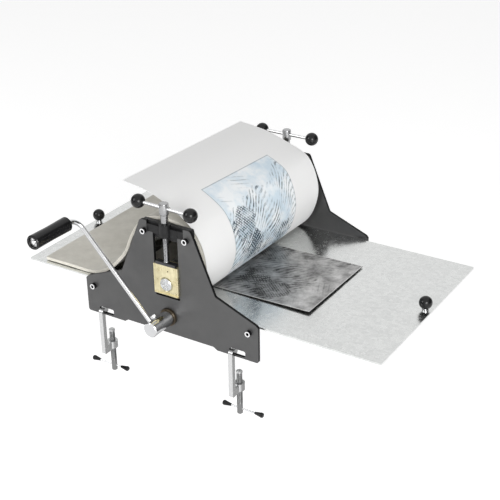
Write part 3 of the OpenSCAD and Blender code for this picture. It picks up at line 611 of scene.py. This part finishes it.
def etched_scene():
    """The picture as a share of ink, from u across and v up the plate, both from 0 to 1."""
    group = bpy.data.node_groups.new("hills_over_a_lake", "ShaderNodeTree")
    group.interface.new_socket("Place", in_out="INPUT", socket_type="NodeSocketVector")
    group.interface.new_socket("Ink", in_out="OUTPUT", socket_type="NodeSocketFloat")
    start = group.nodes.new("NodeGroupInput")
    done = group.nodes.new("NodeGroupOutput")

    class Board(Finish):
        def __init__(self):
            self.tree = group
            self.place = start.outputs[0]

    b = Board()
    u, v, _ = b.split(b.place)

    def wobble(scale, detail, shift):
        node = group.nodes.new("ShaderNodeTexNoise")
        node.noise_dimensions = "1D"
        node.inputs["Scale"].default_value = scale
        node.inputs["Detail"].default_value = detail
        b.link(b.calc("ADD", u, shift), node.inputs["W"])
        return b.calc("SUBTRACT", node.outputs["Fac"], 0.5)

    def crest(height, slope, swing, scale, shift):
        swell = b.calc("MULTIPLY", wobble(scale, 2.5, shift), swing)
        return b.calc("ADD", b.calc("MULTIPLY_ADD", u, slope, height), swell)

    def below(line, soft=0.008):
        return b.spread(b.calc("SUBTRACT", line, v), -soft, soft, smooth=True)

    def lines(phase, count, bend, share):
        bent = b.calc("MULTIPLY", b.noise(3.2, 3, 0.6), bend)
        shaken = b.calc("MULTIPLY_ADD", phase, count * 2 * math.pi, bent)
        return b.spread(b.calc("SINE", shaken), share, share + 0.3)

    def blend(share, low, high):
        node = group.nodes.new("ShaderNodeMix")
        for i, value in ((0, share), (2, low), (3, high)):
            b.link(value, node.inputs[i])
        return node.outputs[0]

    def tree_crown(x, y, wide, tall):
        dx = b.calc("DIVIDE", b.calc("SUBTRACT", u, x), wide)
        dy = b.calc("DIVIDE", b.calc("SUBTRACT", v, y), tall)
        size = b.calc("SQRT", b.calc("ADD", b.calc("MULTIPLY", dx, dx), b.calc("MULTIPLY", dy, dy)))
        leafy = b.calc("MULTIPLY", b.noise(14, 4, 0.7), 0.9)
        return b.spread(b.calc("ADD", size, leafy), 1.42, 1.2, smooth=True)

    patch = b.noise(3.4, 4, 0.6)
    breaks = b.spread(b.noise(17, 3, 0.65), 0.36, 0.56, 0.25, 1.0)
    far_crest = crest(0.74, 0.12, 0.3, 1.9, 3.1)
    mid_crest = crest(0.70, -0.46, 0.2, 2.3, 8.4)
    bank = crest(0.12, 0.16, 0.16, 3.1, 1.7)
    sky_lines = lines(b.calc("MULTIPLY_ADD", u, 0.35, v), 24, 5, 0.55)
    wisps = b.calc("MULTIPLY", sky_lines, b.spread(patch, 0.5, 0.66, 0.0, 0.4))
    down_far = b.calc("SUBTRACT", far_crest, v)
    down_slope = b.calc("MULTIPLY_ADD", down_far, 0.8, b.calc("MULTIPLY", u, 0.6))
    far_lines = lines(down_slope, 27, 3.5, 0.0)
    far_shade = b.spread(patch, 0.38, 0.6, 0.0, 0.85)
    far_hill = b.calc("MULTIPLY", b.calc("MULTIPLY", far_lines, breaks), far_shade)
    down_mid = b.calc("SUBTRACT", mid_crest, v)
    slope_lines = lines(b.calc("MULTIPLY_ADD", down_mid, 0.75, u), 31, 4, -0.15)
    cross_lines = lines(b.calc("MULTIPLY_ADD", u, -0.5, down_mid), 36, 5, 0.1)
    crossed = b.calc("MULTIPLY", cross_lines, b.spread(patch, 0.52, 0.42))
    hatched = b.calc("MAXIMUM", slope_lines, crossed)
    mid_hill = b.calc("MULTIPLY_ADD", b.calc("MULTIPLY", hatched, breaks),
                     b.spread(patch, 0.36, 0.62, 1.0, 0.3), b.spread(patch, 0.33, 0.5, 0.4, 0.04))
    ripples = b.spread(b.noise(5, 4, 0.6), 0.45, 0.6, 0.0, 0.7)
    lake = b.calc("MULTIPLY", lines(v, 40, 4, 0.35), ripples)
    reed_lines = lines(b.calc("MULTIPLY_ADD", v, 0.25, u), 42, 6, -0.2)
    reeds = b.calc("MULTIPLY_ADD", b.calc("MULTIPLY", reed_lines, breaks), 0.6, 0.25)
    ink = blend(below(far_crest), wisps, far_hill)
    ink = blend(below(mid_crest), ink, mid_hill)
    ink = blend(b.spread(v, 0.30, 0.285, smooth=True), ink, lake)
    ink = blend(below(bank, 0.012), ink, reeds)
    twigs = b.calc("MAXIMUM", lines(b.calc("MULTIPLY_ADD", u, 0.9, v), 38, 9, -0.1),
                  lines(b.calc("MULTIPLY_ADD", u, -1.3, b.calc("MULTIPLY", v, 0.5)), 33, 8, 0.2))
    leaves = b.calc("MULTIPLY_ADD", b.calc("MULTIPLY", twigs, breaks), 0.8, 0.08)
    for crown in ((0.2, 0.64, 0.16, 0.13), (0.83, 0.36, 0.13, 0.14)):
        ink = blend(tree_crown(*crown), ink, leaves)
    grain = b.spread(b.noise(60, 3, 0.7), 0.3, 0.75, 0.75, 1.15)
    b.link(b.calc("MULTIPLY", ink, grain), done.inputs[0])
    return group


picture = etched_scene()

PLATE_L, PLATE_W, PLATE_FRONT, PLATE_Y, PLATE_T = 239.0, 187.0, 214.0, -12.0, 1.2
PLATE_BEVEL, BEVEL_DROP = 0.5, 0.4
CURL_START, CURL_POWER, CURL_FAR, CURL_MORE_NEAR = 10, 1.2, 1.8, 1.6
BED_TOP = 60.5


def picture_on(finish, where):
    """The picture's ink on that finish, laid out by the vector where."""
    art = finish.tree.nodes.new("ShaderNodeGroup")
    art.node_tree = picture
    finish.link(where, art.inputs[0])
    return art.outputs[0]


def inked_metal():
    metal = Finish("inked_metal", (0.2, 0.2, 0.2), metal=0.85, rough=0.35)
    x, y, _ = metal.split(metal.place)
    u = metal.calc("MULTIPLY_ADD", y, 1000 / PLATE_W, 0.5 - PLATE_Y / PLATE_W)
    v = metal.calc("MULTIPLY_ADD", x, 1000 / PLATE_L, 1 - PLATE_FRONT / PLATE_L)
    both = metal.tree.nodes.new("ShaderNodeCombineXYZ")
    metal.link(u, both.inputs[0])
    metal.link(v, both.inputs[1])
    bitten = picture_on(metal, both.outputs[0])
    wiped = metal.noise(30, 5, 0.65)
    film = metal.spread(wiped, 0.34, 0.64, 0.15, 0.75)
    shade = metal.calc("ADD", metal.calc("MULTIPLY", bitten, 0.5), film)
    face = metal.between(metal.spread(shade, 0.05, 0.95), (0.7, 0.695, 0.69), (0.06, 0.059, 0.058))
    off_u = metal.calc("ABSOLUTE", metal.calc("SUBTRACT", u, 0.5))
    off_v = metal.calc("ABSOLUTE", metal.calc("SUBTRACT", v, 0.5))
    inset = metal.calc("MINIMUM", metal.calc("MULTIPLY_ADD", off_u, -PLATE_W, PLATE_W / 2),
                      metal.calc("MULTIPLY_ADD", off_v, -PLATE_L, PLATE_L / 2))
    # A pale rim along the top's edges: partly a wiped clean rim, partly a painted highlight.
    wiped_rim_and_highlight = metal.between(metal.spread(inset, 0.9, 1.6), (0.75, 0.75, 0.74), face)
    # Painted shade: the plate's sides, which don't look up, are coloured near black.
    metal.colour(metal.facing(2), (0.012, 0.012, 0.012), wiped_rim_and_highlight)
    metal.roughness(wiped, 0.3, 0.5)
    metal.relief(bitten, 0.35, 0.0003)
    return metal


def rolled_plate():
    """The plate, curled up from just past the rollers to its front, most at the near corner."""
    rear, near = PLATE_FRONT - PLATE_L, PLATE_Y - PLATE_W / 2
    far = near + PLATE_W
    columns, rows = 24, 18
    xs = [rear, rear + PLATE_BEVEL, *(rear + PLATE_L * i / columns for i in range(1, columns)),
          PLATE_FRONT - PLATE_BEVEL, PLATE_FRONT]
    ys = [near, near + PLATE_BEVEL, *(near + PLATE_W * j / rows for j in range(1, rows)),
          far - PLATE_BEVEL, far]
    verts = []
    for top in (0, 1):
        for y in ys:
            for x in xs:
                out = max(0, x - CURL_START) / (PLATE_FRONT - CURL_START)
                curl = out ** CURL_POWER * (CURL_FAR + CURL_MORE_NEAR * (far - y) / PLATE_W)
                rim = x in (rear, PLATE_FRONT) or y in (near, far)
                z = BED_TOP + curl + top * (PLATE_T - BEVEL_DROP * rim)
                verts.append((x * MM, y * MM, z * MM))
    across, up = len(xs), len(xs) * len(ys)
    faces = []
    for j in range(len(ys) - 1):
        for i in range(across - 1):
            q = (j * across + i, j * across + i + 1, (j + 1) * across + i + 1, (j + 1) * across + i)
            faces += [q[::-1], tuple(up + n for n in q)]
    edge = [*range(across), *(j * across + across - 1 for j in range(1, len(ys))),
            *(up - across + i for i in range(across - 2, -1, -1)),
            *(j * across for j in range(len(ys) - 2, 0, -1))]
    faces += [(a, b, b + up, a + up) for a, b in zip(edge, edge[1:] + edge[:1])]
    mesh = bpy.data.meshes.new("etched_zinc_plate")
    mesh.from_pydata(verts, [], faces)
    mesh.polygons.foreach_set("use_smooth", [True] * len(faces))
    mesh.set_sharp_from_angle(angle=math.radians(20))
    piece = bpy.data.objects.new("etched_zinc_plate", mesh)
    scene.collection.objects.link(piece)
    return piece


dressed(rolled_plate(), inked_metal(), "etched_metal", "bed", "etched_plate")

# ---------------------------------------------------------------- blankets
# Two woven wool felts, one on the other, pinched under the pressure roller and turned
# back over it in a loose arch. Their rear ends lie on the bed, and the cut sides are
# paler than the faces.


def curve_through(points, steps):
    """A smooth curve through (x, z) points, with that many steps to each span."""
    last = len(points) - 1
    made = []
    for i in range(last):
        span = points[max(i - 1, 0)], points[i], points[i + 1], points[min(i + 2, last)]
        for j in range(steps):
            t = j / steps
            made.append(tuple((2 * q + (r - p) * t + (2 * p - 5 * q + 4 * r - s) * t * t
                               + (3 * q - p - 3 * r + s) * t ** 3) / 2
                              for p, q, r, s in zip(*span)))
    return made + [tuple(points[last])]


def lengths(curve):
    total = [0.0]
    for a, b in zip(curve, curve[1:]):
        total.append(total[-1] + math.dist(a, b))
    return total


def sheet_piece(name, near_edge, far_edge, y0, y1, offset, thick, rows, lift=None):
    """A closed sheet from an edge curve at y0 to one at y1, on their left at that offset and
    thickness, all in mm. lift gives each point a small rise off the sheet's face."""
    count = len(near_edge)
    verts, uvs = [], []
    along = lengths([((a[0] + b[0]) / 2, (a[1] + b[1]) / 2) for a, b in zip(near_edge, far_edge)])
    for layer in (0, 1):
        for r in range(rows + 1):
            s = r / rows
            y = (y0 + (y1 - y0) * s) * MM
            curve = [tuple(p + (q - p) * s for p, q in zip(a, b))
                     for a, b in zip(near_edge, far_edge)]
            for i, (x, z) in enumerate(curve):
                a, b = curve[max(i - 1, 0)], curve[min(i + 1, count - 1)]
                size = math.hypot(b[0] - a[0], b[1] - a[1])
                nx, nz = -(b[1] - a[1]) / size, (b[0] - a[0]) / size
                rise = lift(along[i] / along[-1], s) if lift else 0
                d = offset + layer * thick + rise
                verts.append(((x + d * nx) * MM, y, (z + d * nz) * MM))
                uvs.append((y, along[i] * MM))
    k = count * (rows + 1)
    faces = []
    for r in range(rows):
        for i in range(count - 1):
            q = (r * count + i, r * count + i + 1, (r + 1) * count + i + 1, (r + 1) * count + i)
            faces.append(q[::-1])
            faces.append(tuple(k + n for n in q))
    for i in range(count - 1):
        faces.append((i, i + 1, k + i + 1, k + i))
        n = rows * count + i
        faces.append((n + 1, n, k + n, k + n + 1))
    for r in range(rows):
        n = r * count
        faces.append((n + count, n, k + n, k + n + count))
        n = r * count + count - 1
        faces.append((n, n + count, k + n + count, k + n))
    mesh = bpy.data.meshes.new(name)
    mesh.from_pydata(verts, [], faces)
    flat = mesh.uv_layers.new(name="flat")
    for loop in mesh.loops:
        flat.data[loop.index].uv = uvs[loop.vertex_index]
    mesh.polygons.foreach_set("use_smooth", [True] * len(faces))
    mesh.update()
    mesh.set_sharp_from_angle(angle=math.radians(50))
    piece = bpy.data.objects.new(name, mesh)
    scene.collection.objects.link(piece)
    return piece, along[-1]


FELT_LOW, FELT_LIE = 2.3, 6.8
FELT_THICK, FELT_Y, FAR_SWELL = 2.6, 172, 8


def felt_edge(w):
    """The outer blanket's outer face, from under the roller over the arch to its rear end on
    the bed. The arch swells by w."""
    return [(x, z + BED_TOP) for x, z in (
        (-120, FELT_LOW), (-60, FELT_LOW), (-15, FELT_LOW), (4, FELT_LOW), (16, FELT_LOW + 0.9),
        (34.1 + w * 0.35, 13), (49 + w * 0.7, 27), (58.5 + w, 48), (62 + w, 70), (58 + w, 95),
        (49 + w, 116), (34.1 + w, 131), (17 + w * 0.9, 139.6), (-4 + w * 0.7, 143),
        (-27.9 + w * 0.4, 142), (-50 + w * 0.15, 135), (-68.2, 119), (-83.7, 95), (-95, 69.1),
        (-103.5, 55.5), (-114, 43.5), (-125, 31.5), (-137, 22), (-152, 13.2), (-176, FELT_LIE),
        (-225.5, FELT_LIE), (-275, FELT_LIE))]


def wool_felt():
    wool = Finish("wool_felt", (0.7, 0.68, 0.61), rough=0.95, spec=0.15)
    wool.shader.inputs["Sheen Weight"].default_value = 0.35
    wool.shader.inputs["Sheen Roughness"].default_value = 0.5
    fibre = wool.noise(1300, 5, 0.75)
    cloud = wool.noise(38, 4, 0.6)
    tone = wool.calc("ADD", wool.calc("MULTIPLY", fibre, 0.55), wool.calc("MULTIPLY", cloud, 0.45))
    face = wool.between(wool.spread(tone, 0.3, 0.7), (0.46, 0.44, 0.385), (0.7, 0.68, 0.615))
    rim = wool.between(fibre, (0.7, 0.67, 0.58), (0.9, 0.87, 0.79))
    wool.colour(wool.facing(1), face, rim)
    wool.relief(cloud, 0.25, 0.0015)
    wool.relief(fibre, 0.6, 0.0006)
    return wool


felt = wool_felt()
near_felt, far_felt = (curve_through(felt_edge(swell), 6) for swell in (0, FAR_SWELL))


def nap(share, across):
    """Shallow waves in the felts, in mm, that fade out towards the nip."""
    wave = 0.25 * math.sin(17 * share + 5 * across) * math.sin(9 * across + 31 * share)
    return wave * min(1, share * 4)


for name, start in (("outer_blanket", 0.0), ("inner_blanket", 2.7)):
    blanket, length = sheet_piece(f"{name}_felt", near_felt, far_felt, -FELT_Y, FELT_Y,
                                  start, FELT_THICK, rows=26, lift=nap)
    blanket.data.materials.append(felt.mat)
    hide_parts(name)
    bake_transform(blanket)

# ---------------------------------------------------------------- paper
# A damp sheet of heavy cotton paper, lifted off the plate with its fresh print outwards
# and laid back over the blankets. The plate has pressed its mark a little skew.

PAPER_LOW, PAPER_THICK, PAPER_NEAR, PAPER_FAR = 2.0, 0.45, -170, 175
near_paper = (
    (-30, PAPER_LOW), (-8, PAPER_LOW), (8, PAPER_LOW), (21, PAPER_LOW + 0.9), (36.5, 9.5),
    (51.5, 26), (61, 48), (64.3, 70), (60.6, 95.5), (51.8, 117), (36.5, 136.5), (4, 159),
    (-40, 179.5), (-94, 189))
far_paper = (
    (-30, PAPER_LOW), (-8, PAPER_LOW), (8, PAPER_LOW), (25, PAPER_LOW + 0.9), (44.5, 9),
    (60.5, 29), (70.5, 54), (74.5, 79), (70.8, 104), (60, 130), (45, 146), (10, 160),
    (-36, 174), (-90, 181.5))


def printed_paper():
    sheet = Finish("printed_paper", (0.85, 0.85, 0.84), rough=0.9, spec=0.2)
    uv = sheet.tree.nodes.new("ShaderNodeUVMap")
    uv.uv_map = "print"
    u, v, _ = sheet.split(uv.outputs[0])
    side_inset = sheet.calc("SUBTRACT", 0.5, sheet.calc("ABSOLUTE", sheet.calc("SUBTRACT", u, 0.5)))
    inset = sheet.calc("MINIMUM", side_inset, sheet.calc("SUBTRACT", 1.0, v))
    printed_face = sheet.attribute("printed_face")
    inside = sheet.calc("MULTIPLY", sheet.spread(inset, 0.0, 0.004), printed_face)
    tone = sheet.noise(26, 5, 0.6)
    pulp = sheet.noise(700, 4, 0.7)
    tint = sheet.between(sheet.spread(tone, 0.38, 0.6), (0.66, 0.77, 0.85), (0.92, 0.95, 0.965))
    rim = sheet.spread(inset, 0.012, 0.006, 0.0, 0.5)
    drawn = picture_on(sheet, uv.outputs[0])
    strokes = sheet.calc("MAXIMUM", sheet.spread(drawn, 0.08, 0.85), rim)
    inked = sheet.between(strokes, tint, (0.05, 0.075, 0.1))
    plain = sheet.between(pulp, (0.86, 0.86, 0.855), (0.94, 0.94, 0.935))
    sheet.colour(inside, plain, inked)
    sheet.relief(sheet.calc("MULTIPLY", inside, -1.0), 0.5, 0.0004)
    sheet.relief(pulp, 0.2, 0.0003)
    return sheet


near_sheet, far_sheet = (curve_through([(x, z + BED_TOP) for x, z in edge], 8)
                         for edge in (near_paper, far_paper))
paper, _ = sheet_piece("cotton_paper", near_sheet, far_sheet, PAPER_NEAR, PAPER_FAR,
                       0.0, PAPER_THICK, rows=40)

# The print's sides drift to the far side towards its head, and the head lies skew.
PRINT_FOOT, PRINT_HEAD, HEAD_SKEW = 25, 265, 7
PRINT_NEAR, NEAR_DRIFT, PRINT_FAR, FAR_DRIFT = -91, 4, 92, 13
flat, print_map = paper.data.uv_layers["flat"], paper.data.uv_layers.new(name="print")
for spot, mark in zip(flat.data, print_map.data):
    y, along = spot.uv[0] / MM, spot.uv[1] / MM
    run = (along - PRINT_FOOT) / PLATE_L
    near, far = PRINT_NEAR + NEAR_DRIFT * run, PRINT_FAR + FAR_DRIFT * run
    share = (y - near) / (far - near)
    mark.uv = (share, 1 + (along - PRINT_HEAD + HEAD_SKEW * share) / PLATE_L)
printed_face = paper.data.attributes.new("printed_face", "FLOAT", "POINT")
half = len(paper.data.vertices) // 2
printed_face.data.foreach_set("value", [1.0] * half + [0.0] * half)
dressed(paper, printed_paper(), "paper", "frame", "paper")
